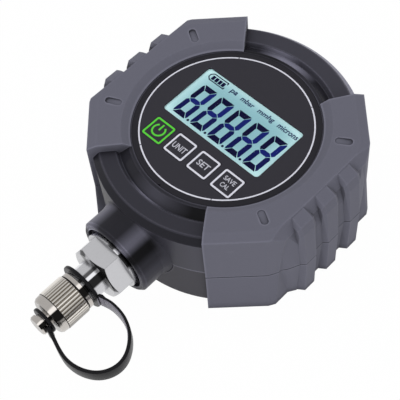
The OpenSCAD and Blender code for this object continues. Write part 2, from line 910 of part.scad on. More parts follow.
module lock_nut() {
    web_in = boss_end - lip_d - boss_web;
    color(c_metal) port_axis() difference() {
        translate([0, 0, web_in - nut_t]) cylinder(r = boss_bore_r - nut_gap, h = nut_t, $fn = 6);
        cylinder(r = shank_r + seat, h = far);
    }
}

module pressure_sensor() {
    color(c_metal) port_axis() difference() {
        union() {
            translate([0, 0, shank_in - sensor_l]) cylinder(r = sensor_r, h = sensor_l - seat);
            translate([0, 0, shank_in - sensor_l]) cylinder(r = spigot_r, h = sensor_l + spigot_l / 2);
        }
        translate([0, 0, shank_in]) cylinder(r = port_bore_r, h = over);
    }
}

module sensor_seal() {
    color(c_rubber) port_axis() translate([0, 0, shank_in + spigot_l / 2])
        ring(spigot_r - seat, port_bore_r + seat, spigot_l / 2 - seat);
}

// Leads that leave the sensor's back, bend up and meet the board
module sensor_leads() {
    back = shank_in - sensor_l;
    color(c_rubber) for (i = [-1:1]) translate([i * lead_pitch, 0, port_h]) {
        translate([0, -back, 0]) rotate([-90, 0, 0]) cylinder(r = lead_r, h = lead_run);
        translate([0, -back + lead_run, lead_bend]) rotate([0, 90, 0])
            rotate_extrude(angle = 90) translate([lead_bend, 0]) circle(lead_r);
        translate([0, -back + lead_run + lead_bend, lead_bend])
            cylinder(r = lead_r, h = board_bottom - port_h - lead_bend);
    }
}

module battery_cells() {
    color([0.75, 0.62, 0.30]) for (s = [-1, 1]) translate([0, bat_y + s * cell_off, cell_z])
        rotate([0, s * 90, 0]) {
            translate([0, 0, -cell_l / 2]) cylinder(r = cell_r, h = cell_l - nub);
            translate([0, 0, cell_l / 2 - nub]) cylinder(r = cell_r * nub_share, h = nub);
        }
}

// Spring plates that press on the ends of the cells
module battery_contacts() {
    color(c_metal) for (s = [-1, 1], k = [-1, 1])
        translate([s * (cell_l / 2 + contact_play / 2), bat_y + k * cell_off, cell_z]) {
            rotate([0, s * 90, 0]) translate([0, 0, contact_play / 2]) cylinder(
                r = cell_r * contact_share, h = contact_t - seat);
            rotate([0, s * 90, 0]) translate([0, 0, -contact_play / 2 + seat])
                cylinder(r1 = cell_r * coil_low_share, r2 = cell_r * coil_high_share,
                    h = contact_play);
        }
}

module battery_leads() {
    color([0.65, 0.08, 0.07]) for (s = [-1, 1])
        translate([s * wire_x, bat_y - cell_off, cell_z]) {
            rotate([0, -s * 90, 0]) cylinder(r = wire_r, h = wire_x - box_x);
            translate([0, 0, lead_bend]) rotate([90, 0, 0]) rotate([0, 0, s > 0 ? -90 : 180])
                rotate_extrude(angle = 90) translate([lead_bend, 0]) circle(wire_r);
            translate([s * lead_bend, 0, lead_bend])
                cylinder(r = wire_r, h = board_bottom - cell_z - lead_bend);
        }
}

module battery_door() {
    w = 2 * door_x;
    color(c_black) difference() {
        union() {
            translate([-door_x, door_low, 0]) cube([w, hinge_y - door_low, door_t]);
            translate([-door_x, hinge_y, hinge_z]) rotate([0, 90, 0])
                cylinder(r = door_t / 2, h = w);
            translate([-door_x - hinge_pin_l, hinge_y, hinge_z]) rotate([0, 90, 0])
                cylinder(r = hinge_pin_r, h = w + 2 * hinge_pin_l);
            translate([0, ear_y, 0]) cylinder(r = ear_r, h = door_t);
            translate([-ear_r, ear_y, 0]) cube([2 * ear_r, door_low - ear_y + edge, door_t]);
        }
        translate([0, ear_y, -over]) cylinder(r = door_screw_r + slip, h = 3 * over);
        translate([0, ear_y, -over]) cylinder(r = door_head_r + slip,
            h = over + door_head_t + slip);
    }
}

module door_screw() {
    color(c_metal) translate([0, ear_y, door_head_t + slip]) difference() {
        screw(door_screw_r, door_head_r, door_head_t, door_screw_tip - door_head_t);
        translate([0, 0, -door_head_t])
            cube([cross_share * 2 * door_head_r, cross_w, 2 * cross_d], center = true);
        translate([0, 0, -door_head_t])
            cube([cross_w, cross_share * 2 * door_head_r, 2 * cross_d], center = true);
    }
}

module protective_cap() {
    step = 360 / flute_count;
    star = [for (i = [0:flute_count - 1]) each [
        cap_r * [cos(i * step), sin(i * step)],
        cap_r * [cos((i + flute_share) * step), sin((i + flute_share) * step)],
        (cap_r - flute_d) * [cos((i + flute_share + 0.2) * step),
            sin((i + flute_share + 0.2) * step)],
        (cap_r - flute_d) * [cos((i + 0.8) * step), sin((i + 0.8) * step)]]];
    shoulder = cap_r - shoulder_drop;
    color(c_metal) port_axis() difference() {
        union() {
            rotate_extrude() polygon([
                [0, cap_in], [flange_r - edge, cap_in], [flange_r, cap_in + edge],
                [flange_r, cap_in + flange_l], [flange_r - neck_groove_d, cap_in + flange_l],
                [flange_r - neck_groove_d, flute_in], [cap_r - flute_d - edge, flute_in],
                [cap_r - flute_d - edge, flute_end], [cap_r - edge / 2, flute_end],
                [shoulder, flute_end + shoulder_l],
                [shoulder - nose_drop / 2, cap_face - nose_cap_l / 4],
                [shoulder - nose_drop, cap_face], [tip_r, cap_face],
                [tip_r, cap_face + tip_l], [button_r, cap_face + tip_l],
                [button_r, cap_face + tip_l + button_l - button_bevel],
                [button_r - button_bevel, cap_face + tip_l + button_l],
                [0, cap_face + tip_l + button_l]]);
            intersection() {
                translate([0, 0, flute_in]) linear_extrude(flute_l) polygon(star);
                rotate_extrude() polygon([
                    [0, flute_in], [cap_r - edge, flute_in], [cap_r + seat, flute_in + 2 * edge],
                    [cap_r + seat, flute_end], [0, flute_end]]);
            }
        }
        cylinder(r = thread_r + slip, h = cap_bore_end);
    }
}

module cap_seal() {
    color(c_rubber) port_axis() translate([0, 0, cap_bore_end - cap_seal_t - seat])
        ring(thread_r, port_bore_r, cap_seal_t);
}

// Flat rubber ring about the port's axis from z on, with a tapered lug for the strap
module tether_ring(r_out, r_in, z, t, az) {
    root = (r_in + r_out) / 2;
    tip = r_out + lug_l;
    port_axis() {
        difference() {
            translate([0, 0, z]) rotate_extrude() polygon([
                [0, 0], [r_out - ring_round, 0], [r_out, ring_round], [r_out, t - ring_round],
                [r_out - ring_round, t], [0, t]]);
            translate([0, 0, z - over]) cylinder(r = r_in, h = t + 2 * over);
        }
        translate([0, strap_w / 2, z + t / 2]) rotate([0, az, 0]) rotate([90, 0, 0])
            linear_extrude(strap_w) polygon([
                [root, -t / 4], [r_out, -lug_t / 2], [tip, -strap_t / 2], [tip, strap_t / 2],
                [r_out, lug_t / 2], [root, t / 4]]);
    }
}

module tether_neck_ring() {
    color(c_rubber) tether_ring(neck_ring_r, neck_r + slip, ring_seat, ring_t, neck_lug_az);
}

module tether_cap_ring() {
    color(c_rubber) tether_ring(cap_ring_r, tip_r + slip, cap_ring_in, cap_ring_t, cap_lug_az);
}

// Point at share u of the way from route point i to the next, on a smooth curve
function route_point(i, u) = let(
    n = len(strap_route) - 1,
    a = strap_route[max(i - 1, 0)],
    b = strap_route[i],
    c = strap_route[min(i + 1, n)],
    d = strap_route[min(i + 2, n)])
    (2 * b + (c - a) * u + (2 * a - 5 * b + 4 * c - d) * u * u
        + (3 * b - a - 3 * c + d) * u * u * u) / 2;

function strap_line() = [for (i = [0:len(strap_route) - 2], k = [0:strap_steps - 1])
    route_point(i, k / strap_steps), strap_route[len(strap_route) - 1]];

// Direction along the strap at point i, which is the lug's own at both ends
function strap_dir(line, i) = i == 0 ? neck_lug_dir : i == len(line) - 1 ? -cap_lug_dir
    : (line[i + 1] - line[i - 1]) / norm(line[i + 1] - line[i - 1]);

function strap_side(line, s) = [for (i = [0:len(line) - 1])
    line[i] + s * strap_t / 2 * [-strap_dir(line, i)[1], strap_dir(line, i)[0]]];

module tether_band() {
    line = strap_line();
    left = strap_side(line, 1);
    right = strap_side(line, -1);
    outline = concat(left, [for (i = [len(right) - 1:-1:0]) right[i]]);
    color(c_rubber) translate([0, 0, port_h - strap_w / 2])
        linear_extrude(strap_w) polygon(outline);
}

front_housing();
rear_housing();
front_left_grip();
front_right_grip();
rear_left_grip();
rear_right_grip();
dial_overlay();
display_window();
power_key();
unit_key();
set_key();
save_key();
tact_switches();
lcd_glass();
lcd_backlight();
lcd_holder();
main_board();
board_parts();
board_screws();
housing_seal();
housing_screws();
port_fitting();
port_gasket();
lock_nut();
pressure_sensor();
sensor_seal();
sensor_leads();
battery_cells();
battery_contacts();
battery_leads();
battery_door();
door_screw();
protective_cap();
cap_seal();
tether_neck_ring();
tether_band();
tether_cap_ring();
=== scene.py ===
import json
import math
import bmesh
import bpy
from mathutils import Matrix, Vector

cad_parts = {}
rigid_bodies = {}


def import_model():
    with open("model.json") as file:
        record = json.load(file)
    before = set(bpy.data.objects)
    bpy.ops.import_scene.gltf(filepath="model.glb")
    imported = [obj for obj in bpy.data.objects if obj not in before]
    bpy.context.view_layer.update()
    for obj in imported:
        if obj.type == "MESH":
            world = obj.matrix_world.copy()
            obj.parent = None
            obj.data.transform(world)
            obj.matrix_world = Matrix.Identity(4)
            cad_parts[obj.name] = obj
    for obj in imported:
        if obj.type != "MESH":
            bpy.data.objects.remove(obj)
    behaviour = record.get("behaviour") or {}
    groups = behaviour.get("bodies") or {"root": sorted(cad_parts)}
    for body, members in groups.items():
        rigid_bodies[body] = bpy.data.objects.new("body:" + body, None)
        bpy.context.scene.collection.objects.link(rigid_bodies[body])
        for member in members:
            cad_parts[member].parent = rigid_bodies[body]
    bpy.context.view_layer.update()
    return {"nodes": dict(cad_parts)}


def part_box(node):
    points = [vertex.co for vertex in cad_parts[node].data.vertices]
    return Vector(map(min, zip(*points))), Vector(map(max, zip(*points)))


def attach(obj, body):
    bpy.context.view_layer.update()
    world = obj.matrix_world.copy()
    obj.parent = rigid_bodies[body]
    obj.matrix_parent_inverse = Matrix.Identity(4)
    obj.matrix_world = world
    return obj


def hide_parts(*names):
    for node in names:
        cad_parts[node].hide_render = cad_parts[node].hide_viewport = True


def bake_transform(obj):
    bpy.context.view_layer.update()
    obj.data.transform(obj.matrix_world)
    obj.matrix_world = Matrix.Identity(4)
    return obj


for o in list(bpy.data.objects):
    bpy.data.objects.remove(o, do_unlink=True)
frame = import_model()
scene = bpy.context.scene
MM = 0.001

# ---- camera at the photograph's viewpoint
CAMERA_PLACE = (
    (0.7128, -0.5671, 0.4128, 0.15246),
    (0.6983, 0.6288, -0.3420, -0.14249),
    (-0.0656, 0.5320, 0.8442, 0.32227),
    (0, 0, 0, 1))
cam = bpy.data.objects.new("camera", bpy.data.cameras.new("camera"))
scene.collection.objects.link(cam)
cam.matrix_world = Matrix(CAMERA_PLACE)
cam.data.lens = 89.39
cam.data.sensor_width = 36
cam.data.clip_start = 0.01
cam.data.clip_end = 20
scene.camera = cam

# ---- sizes of the part's source that the pieces and looks sit on, in millimetres
DIAL = 40.5  # height of the dial's face
CELL_TOP = 39.85  # height of the display cell's face
PORT = 21.7  # height of the port's axis
CAP_R = 7.75
FLUTE_D = 0.5
FLUTE_IN = 76.35  # the cap's flutes begin and end at these distances down the port's axis
FLUTE_END = 85.55
RING_R = 31.0
KEY_Y = -17.4
KEY_X = [-16.45, -5.65, 5.65, 16.95]
KEY_BODIES = ["power_key", "unit_key", "set_key", "save_key"]
CELL_CY = 3.1  # the display cell's centre and half sizes
CELL_HALF = (22.9, 12.3)

# ---- sizes of the tether, in millimetres and degrees
STRAP_W = 6.0
STRAP_T = 1.3
STRAP_ROUND = 0.42
LUG_L = 1.6
JOIN = 0.05  # the strap's ends and the lugs' ends meet within this
NECK = {"y": -73.0, "shift": 0.25, "r": 9.0, "bore": 6.45, "t": 1.25, "az": 8.0}
CAP = {"y": -90.05, "shift": 0.0, "r": 5.1, "bore": 3.0, "t": 1.15, "az": -18.0}


# ---- shader helpers
def srgb(r, g, b):
    def lin(v):
        v /= 255
        return v / 12.92 if v <= 0.04045 else ((v + 0.055) / 1.055) ** 2.4
    return (lin(r), lin(g), lin(b), 1)


def node(nt, kind, inputs=None, **settings):
    """Adds a node with its settings and its inputs, each a constant or another node's output."""
    n = nt.nodes.new(kind)
    for key, value in settings.items():
        setattr(n, key, value)
    for key, value in (inputs or {}).items():
        if isinstance(value, bpy.types.NodeSocket):
            nt.links.new(value, n.inputs[key])
        else:
            n.inputs[key].default_value = value
    return n


def calc(nt, operation, *values):
    return node(nt, "ShaderNodeMath", dict(enumerate(values)), operation=operation).outputs["Value"]


def map_range(nt, value, from_min=0.0, from_max=1.0, to_min=0.0, to_max=1.0):
    n = node(nt, "ShaderNodeMapRange", {"Value": value, "From Min": from_min,
                                        "From Max": from_max, "To Min": to_min, "To Max": to_max})
    return n.outputs["Result"]


def mix_value(nt, factor, a, b):
    return node(nt, "ShaderNodeMix", {0: factor, 2: a, 3: b}, data_type="FLOAT").outputs[0]


def mix_colour(nt, factor, a, b, mode="MIX"):
    n = node(nt, "ShaderNodeMix", {0: factor, 6: a, 7: b}, data_type="RGBA", blend_type=mode)
    return n.outputs[2]


def multiply(nt, a, b):
    return mix_colour(nt, 1.0, a, b, "MULTIPLY")


def split(nt, output):
    """X, Y and Z of the object's coordinates or of the normal."""
    coords = node(nt, "ShaderNodeTexCoord")
    sep = node(nt, "ShaderNodeSeparateXYZ", {"Vector": coords.outputs[output]})
    return sep.outputs["X"], sep.outputs["Y"], sep.outputs["Z"]


def distance(nt, a, b):
    """Distance from an axis, by the two coordinates across it."""
    return calc(nt, "SQRT", calc(nt, "ADD", calc(nt, "MULTIPLY", a, a),
                                 calc(nt, "MULTIPLY", b, b)))


def within(nt, value, low, high):
    """1 where a coordinate lies between two limits in millimetres, else 0."""
    return calc(nt, "COMPARE", value, (low + high) / 2 * MM, (high - low) / 2 * MM)


def tone_ramp(nt, angle, stops):
    """Grey tone (sRGB) by an angle, from a list of (degrees, tone)."""
    turn = calc(nt, "MULTIPLY_ADD", angle, 0.5 / math.pi, 0.5)
    ramp = node(nt, "ShaderNodeValToRGB", {"Fac": turn})
    points = ramp.color_ramp.elements
    while len(points) > 1:
        points.remove(points[-1])
    for i, (deg, tone) in enumerate(stops):
        point = points[0] if i == 0 else points.new(deg / 360 + 0.5)
        point.position = deg / 360 + 0.5
        point.color = srgb(tone, tone, tone)
    return ramp.outputs["Color"]


def bands(flat, soft, *spans):
    """Stops of a flat tone with bands on it, each (from, to, tone) in degrees, with soft edges."""
    stops = [(-180, flat)]
    for start, end, tone in spans:
        last = stops[-1][0]
        if last + soft < start - soft:
            stops += [(last + soft, flat)] if len(stops) > 1 else []
            stops.append((start - soft, flat))
        stops += [(start, tone), (end, tone)]
    return stops + [(stops[-1][0] + soft, flat), (180, flat)]


def shader(m):
    return m.node_tree, m.node_tree.nodes["Principled BSDF"]


def base(m):
    """Output that feeds the material's base colour."""
    return shader(m)[1].inputs["Base Color"].links[0].from_socket


def set_base(m, colour):
    nt, p = shader(m)
    nt.links.new(colour, p.inputs["Base Color"])


BEVEL_SAMPLES = 6
BUMP_DEPTH = 0.0001  # in metres


def material(name, colour, rough, metal=0.0, vary=0.06, scale=900.0, bump=0.0, bump_scale=4000.0,
             rough_vary=0.05, specular=0.5, sheen=0.0, stretch=(1, 1, 1), soften=0.0):
    """Principled material with procedural colour, roughness and bump, in the row frame."""
    m = bpy.data.materials.new(name)
    m.use_nodes = True
    nt, p = shader(m)
    coords = node(nt, "ShaderNodeTexCoord")
    mapping = node(nt, "ShaderNodeMapping", {"Vector": coords.outputs["Object"],
                                             "Scale": stretch})
    where = mapping.outputs["Vector"]
    noise = node(nt, "ShaderNodeTexNoise", {"Vector": where, "Scale": scale, "Detail": 4})
    grain = map_range(nt, noise.outputs["Fac"], to_min=1 - vary, to_max=1 + vary)
    nt.links.new(multiply(nt, colour, grain), p.inputs["Base Color"])
    gloss = map_range(nt, noise.outputs["Fac"], to_min=max(0.02, rough - rough_vary),
                      to_max=min(1, rough + rough_vary))
    nt.links.new(gloss, p.inputs["Roughness"])
    # the bevel softens edges, and the bump's grain lies on the softened normal
    normal = None
    if soften > 0:
        bevel = node(nt, "ShaderNodeBevel", {"Radius": soften * MM}, samples=BEVEL_SAMPLES)
        normal = bevel.outputs["Normal"]
    if bump > 0:
        fine = node(nt, "ShaderNodeTexNoise", {"Vector": where, "Scale": bump_scale, "Detail": 3})
        inputs = {"Strength": bump, "Distance": BUMP_DEPTH, "Height": fine.outputs["Fac"]}
        if normal:
            inputs["Normal"] = normal
        normal = node(nt, "ShaderNodeBump", inputs).outputs["Normal"]
    if normal:
        nt.links.new(normal, p.inputs["Normal"])
    p.inputs["Metallic"].default_value = metal
    p.inputs["Specular IOR Level"].default_value = specular
    p.inputs["Sheen Weight"].default_value = sheen
    return m


# ---- looks shared by several materials
# share of open surroundings at which the painted shade in a hollow or the painted highlight on an
# edge has its full effect, and where it ends
HOLLOW_FROM, EDGE_FROM, PAINT_ENDS_AT = 0.45, 0.6, 0.97
AO_SAMPLES = 5


def paint_hollow_shade_and_edge_light(m, reach, dark, edge, light):
    """Paints shade into hollows over a reach and a highlight onto edges over a width, both in
    millimetres; an edge share below 1 paints shade onto the edges instead.
    """
    nt = m.node_tree
    colour = base(m)
    for width, inner, low, tone in ((reach, False, HOLLOW_FROM, dark),
                                    (edge, True, EDGE_FROM, light)):
        ao = node(nt, "ShaderNodeAmbientOcclusion", {"Distance": width * MM},
                  samples=AO_SAMPLES, inside=inner, only_local=inner)
        colour = multiply(nt, colour, map_range(nt, ao.outputs["AO"], low, PAINT_ENDS_AT, tone))
    set_base(m, colour)


GLOSS_DEPTH = 3  # the glossy slope lies this near below the dial


def glossy_slope(m, r0, r1, rough):
    """Makes the front face's sloped ring between two radii glossier than the rest."""
    nt, p = shader(m)
    x, y, z = split(nt, "Object")
    inside = within(nt, distance(nt, x, y), r0, r1)
    high = calc(nt, "GREATER_THAN", z, (DIAL - GLOSS_DEPTH) * MM)
    old = p.inputs["Roughness"].links[0].from_socket
    nt.links.new(mix_value(nt, calc(nt, "MULTIPLY", inside, high), old, rough),
                 p.inputs["Roughness"])


# Painted highlights and painted shade on the port's boss by the angle about the port's axis, 0 at
# the dial's side
BOSS_PAINTED_LIGHT = bands(45, 10, (-60, -40, 100), (-20, 10, 35), (25, 30, 90), (40, 50, 10),
                   (75, 100, 60))
# Painted highlights and painted shade on the front housing by azimuth: the lip round the overlay,
# then each ring from its radius
LIP_PAINTED_LIGHT = bands(40, 20, (100, 120, 25))
RING_PAINTED_LIGHT = [
    (35.15, bands(40, 15, (-90, -85, 65), (-65, -60, 15), (90, 100, 130))),
    (38.55, bands(60, 10, (-95, -90, 120), (100, 105, 110))),
    (39.75, bands(50, 15, (30, 110, 60))),
    (46.15, bands(35, 15, (55, 120, 130))),
]
# painted highlight on the outer wall by azimuth
WALL_PAINTED_LIGHT = bands(45, 20, (-60, -20, 70))
WALL_R, WALL_TOP = 47.0, 37.4  # the wall lies outside this radius and below this height
BOSS_FROM, BOSS_FULL = -46.5, -48.5  # the wall's tones turn into the boss's between these
HOUSING_TINT = srgb(250, 248, 278)


def paint_housing_highlights(m, flat):
    """Painted streaks of highlight and bands of shade round the port's boss, the bezel's rings and
    the outer wall.

    The material's own colour, flat, gives way to the tones; its grain stays.
    """
    nt = m.node_tree
    x, y, z = split(nt, "Object")
    grain = mix_colour(nt, 1.0, base(m), flat, "DIVIDE")
    turn = calc(nt, "ARCTAN2", y, x)
    radius = distance(nt, x, y)
    tone = tone_ramp(nt, turn, LIP_PAINTED_LIGHT)
    for start, stops in RING_PAINTED_LIGHT:
        outside = calc(nt, "GREATER_THAN", radius, start * MM)
        tone = mix_colour(nt, outside, tone, tone_ramp(nt, turn, stops))
    below = calc(nt, "LESS_THAN", z, WALL_TOP * MM)
    wall = calc(nt, "MULTIPLY", below, calc(nt, "GREATER_THAN", radius, WALL_R * MM))
    tone = mix_colour(nt, wall, tone, tone_ramp(nt, turn, WALL_PAINTED_LIGHT))
    up = calc(nt, "SUBTRACT", z, PORT * MM)
    boss = tone_ramp(nt, calc(nt, "ARCTAN2", x, up), BOSS_PAINTED_LIGHT)
    along = map_range(nt, y, BOSS_FROM * MM, BOSS_FULL * MM)
    tone = mix_colour(nt, calc(nt, "MULTIPLY", along, below), tone, boss)
    set_base(m, multiply(nt, multiply(nt, tone, HOUSING_TINT), grain))


# Painted reflections on turned metal, tones by the direction that it faces about the port's axis:
# the fitting's sides, the cap's sides, and the fitting's faces across the axis past FACES_PAST
SIDE_PAINTED_REFLECTIONS = bands(190, 5, (-100, -40, 235), (5, 15, 90), (16, 26, 250), (28, 54, 40),
                   (60, 110, 210))
CAP_PAINTED_REFLECTIONS = bands(170, 5, (-90, -70, 210), (17, 26, 250), (28, 54, 25), (65, 105, 200))
END_PAINTED_REFLECTIONS = bands(190, 5, (-35, -20, 80), (0, 85, 70))
FACES_PAST = -66.0
FACE_ACROSS = 0.8  # share of the normal along the axis from which a face counts as across it


def paint_metal_reflections(m, tint, tones, faces_past=None):
    """Paints reflections onto bright turned metal as tones by the direction that it faces about the
    port's axis.
    """
    nt = m.node_tree
    nx, ny, nz = split(nt, "Normal")
    tone = tone_ramp(nt, calc(nt, "ARCTAN2", nx, nz), tones)
    if faces_past is not None:
        x, y, z = split(nt, "Object")
        up = calc(nt, "SUBTRACT", z, PORT * MM)
        face = tone_ramp(nt, calc(nt, "ARCTAN2", x, up), END_PAINTED_REFLECTIONS)
        across = calc(nt, "GREATER_THAN", calc(nt, "ABSOLUTE", ny), FACE_ACROSS)
        past = calc(nt, "LESS_THAN", y, faces_past * MM)
        tone = mix_colour(nt, calc(nt, "MULTIPLY", across, past), tone, face)
    set_base(m, multiply(nt, multiply(nt, tone, base(m)), tint))


# ---- looks of single materials
SEAM_HALF = 0.22
SEAM_COLOUR = srgb(52, 52, 58)


def grip_seam(m):
    """Dark line where the front and rear grips meet."""
    nt = m.node_tree
    z = split(nt, "Object")[2]
    seam = calc(nt, "COMPARE", z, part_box("front_right_grip")[0][2], SEAM_HALF * MM)
    set_base(m, mix_colour(nt, seam, base(m), SEAM_COLOUR))


# painted highlight on the strap's inner face near the neck's ring
PALE_FROM, PALE_FULL, PALE_X = -81.0, -75.0, 8.5  # the pale face's places along Y, and from X
FACING_IN = -0.3
STRAP_HIGHLIGHT_COLOUR = srgb(122, 120, 130)


def paint_strap_highlight(m):
    """Painted highlight on the strap where its inner face leaves the neck's ring."""
    nt = m.node_tree
    ny = split(nt, "Normal")[1]
    x, y, _ = split(nt, "Object")
    near = map_range(nt, y, PALE_FROM * MM, PALE_FULL * MM)
    inner = calc(nt, "MULTIPLY", calc(nt, "LESS_THAN", ny, FACING_IN),
                 calc(nt, "GREATER_THAN", x, PALE_X * MM))
    set_base(m, mix_colour(nt, calc(nt, "MULTIPLY", inner, near), base(m), STRAP_HIGHLIGHT_COLOUR))


MARGIN_SHARE = (0.6, 0.6, 0.6, 1)


def dark_margin(m):
    """Darker overlay outside the printed ring."""
    nt = m.node_tree
    x, y, _ = split(nt, "Object")
    outer = calc(nt, "GREATER_THAN", distance(nt, x, y), RING_R * MM)
    set_base(m, mix_colour(nt, outer, base(m), multiply(nt, base(m), MARGIN_SHARE)))


# painted reflections on the cap's ridges by angle, and painted shade in its grooves
RIDGE_PAINTED_REFLECTIONS = bands(190, 10, (-70, -40, 230), (25, 30, 230), (50, 55, 175), (70, 75, 240),
                    (95, 105, 150))
RIDGE_ROUND = 0.1
GROOVE_SHADE_COLOUR, BARREL_TINT, LINE_COLOUR = srgb(148, 144, 138), srgb(252, 247, 240), srgb(34, 32, 32)
LINE_IN, LINE_END = (-0.15, 0.45), (-0.24, 0.04)  # the lines' limits from each end of the flutes


def paint_flute_shade_and_reflections(m):
    """Barrel with painted shade in its grooves and painted reflections on its ridges, and a dark
    line at each of its ends.
    """
    nt = m.node_tree
    x, y, z = split(nt, "Object")
    up = calc(nt, "SUBTRACT", z, PORT * MM)
    height = map_range(nt, distance(nt, x, up), (CAP_R - FLUTE_D) * MM,
                       (CAP_R - RIDGE_ROUND) * MM)
    ridge = tone_ramp(nt, calc(nt, "ARCTAN2", x, up), RIDGE_PAINTED_REFLECTIONS)
    barrel = multiply(nt, mix_colour(nt, height, GROOVE_SHADE_COLOUR, ridge), BARREL_TINT)
    on_barrel = within(nt, y, -FLUTE_END, -FLUTE_IN)
    lines = [within(nt, y, limits[0] - end, limits[1] - end)
             for end, limits in ((FLUTE_IN, LINE_IN), (FLUTE_END, LINE_END))]
    colour = mix_colour(nt, on_barrel, base(m), barrel)
    set_base(m, mix_colour(nt, calc(nt, "MAXIMUM", *lines), colour, LINE_COLOUR))


CYAN, CYAN_EDGE = srgb(141, 188, 197), srgb(204, 244, 247)
GLOW_POWER = 6.0
SIDE_GLOW, END_GLOW, END_GLOW_RISE = 0.8, 0.93, 0.07  # the upper edge glows more than the lower


def cell_glow(m):
    """Cyan display cell with a paler glow along its edges."""
    nt = m.node_tree
    x, y, _ = split(nt, "Object")
    half_x, half_y = CELL_HALF
    width = calc(nt, "DIVIDE", x, half_x * MM)
    height = calc(nt, "DIVIDE", calc(nt, "SUBTRACT", y, CELL_CY * MM), half_y * MM)
    side, end = [calc(nt, "POWER", calc(nt, "ABSOLUTE", v), GLOW_POWER) for v in (width, height)]
    end_share = calc(nt, "MULTIPLY_ADD", height, END_GLOW_RISE, END_GLOW)
    glow = calc(nt, "MULTIPLY_ADD", side, SIDE_GLOW, calc(nt, "MULTIPLY", end, end_share))
    cyan = mix_colour(nt, calc(nt, "MINIMUM", glow, 1.0), CYAN, CYAN_EDGE)
    set_base(m, multiply(nt, cyan, base(m)))


# ---- materials, and the frame's nodes that wear them
MID_GREY = (0.5, 0.5, 0.5, 1)
WHITE = (1, 1, 1, 1)
M_HOUSING = material("housing_abs", MID_GREY, 0.4, bump=0.12, bump_scale=5000, vary=0.05,
                     specular=0.08, soften=0.25)
# painted highlights and shade on the front housing
paint_housing_highlights(M_HOUSING, MID_GREY)
# painted shade in the housing's hollows and painted highlights on its edges
paint_hollow_shade_and_edge_light(M_HOUSING, 2.0, 0.85, 0.7, 3.0)
glossy_slope(M_HOUSING, 35.3, 38.8, 0.14)
M_REAR = material("rear_abs", srgb(66, 65, 71), 0.5, bump=0.15, bump_scale=5000, specular=0.08,
                  soften=0.25)
# painted shade in the rear's hollows and painted highlights on its edges
paint_hollow_shade_and_edge_light(M_REAR, 2.0, 0.8, 0.6, 1.7)
M_GRIP = material("grip_rubber", srgb(97, 97, 109), 0.72, bump=0.25, bump_scale=4500, vary=0.04,
                  specular=0.12, sheen=0.05, soften=0.2)
# painted shade in the grips' hollows and painted highlights on their edges
paint_hollow_shade_and_edge_light(M_GRIP, 4.5, 0.42, 0.8, 1.4)
grip_seam(M_GRIP)
M_OVERLAY = material("overlay_film", srgb(48, 47, 53), 0.5, bump=0.1, bump_scale=6000, vary=0.05,
                     specular=0.08)
dark_margin(M_OVERLAY)
M_BOARD = material("board_mask", srgb(20, 80, 45), 0.35, vary=0.1)
M_DARK = material("inner_plastic", srgb(36, 36, 38), 0.45)
M_WHITE = material("inner_white", srgb(225, 225, 220), 0.5)
M_LCD = material("display_cell", WHITE, 0.3, vary=0.02, scale=120, specular=0.1)
cell_glow(M_LCD)
M_NAVY = material("display_ink", srgb(12, 12, 48), 0.5, vary=0.12, scale=160, specular=0.05)
# lit and shaded copies of the one display ink: painted light
M_INK_HALF_LIT = material("display_ink_half_lit", srgb(17, 22, 78), 0.5, vary=0.1, scale=160, specular=0.05)
M_INK_LIT = material("display_ink_lit", srgb(24, 34, 106), 0.5, vary=0.1, scale=160, specular=0.05)
M_PALE = material("pale_print", srgb(210, 210, 221), 0.5, specular=0.1)
M_TEXT = material("grey_print", srgb(182, 182, 192), 0.5, specular=0.1)
M_GREEN = material("green_print", srgb(88, 200, 60), 0.5, specular=0.1)
M_METAL = material("plated_metal", WHITE, 0.24, metal=1, vary=0.03, rough_vary=0.05, scale=600,
                   bump=0.04, bump_scale=2500)
# painted reflections on the fitting's metal
paint_metal_reflections(M_METAL, srgb(246, 246, 250), SIDE_PAINTED_REFLECTIONS, FACES_PAST)
# painted shade in the metal's hollows and along its edges
paint_hollow_shade_and_edge_light(M_METAL, 1.2, 0.6, 0.3, 0.5)
M_CAP = material("cap_nickel", WHITE, 0.24, metal=1, vary=0.04, rough_vary=0.05, scale=800,
                 bump=0.04, bump_scale=3000, stretch=(1, 0.12, 1))
# painted reflections on the cap's metal
paint_metal_reflections(M_CAP, srgb(250, 244, 238), CAP_PAINTED_REFLECTIONS)
# painted shade in the cap's grooves and painted reflections on its ridges
paint_flute_shade_and_reflections(M_CAP)
M_STEEL = material("screw_steel", (0.5, 0.5, 0.52, 1), 0.35, metal=1)
M_RUBBER = material("tether_rubber", srgb(14, 14, 17), 0.32, bump=0.04, bump_scale=5000,
                    specular=0.12)
# painted highlight on the strap's inner face
paint_strap_highlight(M_RUBBER)
M_SEAL = material("seal_rubber", srgb(22, 22, 22), 0.7, specular=0.2)
M_LEAD = material("lead_skin", srgb(150, 25, 22), 0.4)
M_CELL = material("cell_wrap", srgb(150, 120, 60), 0.35)
M_WINDOW = material("clear_window", srgb(8, 10, 11), 0.06, vary=0.01, specular=0.05)
shader(M_WINDOW)[1].inputs["Alpha"].default_value = 0.02

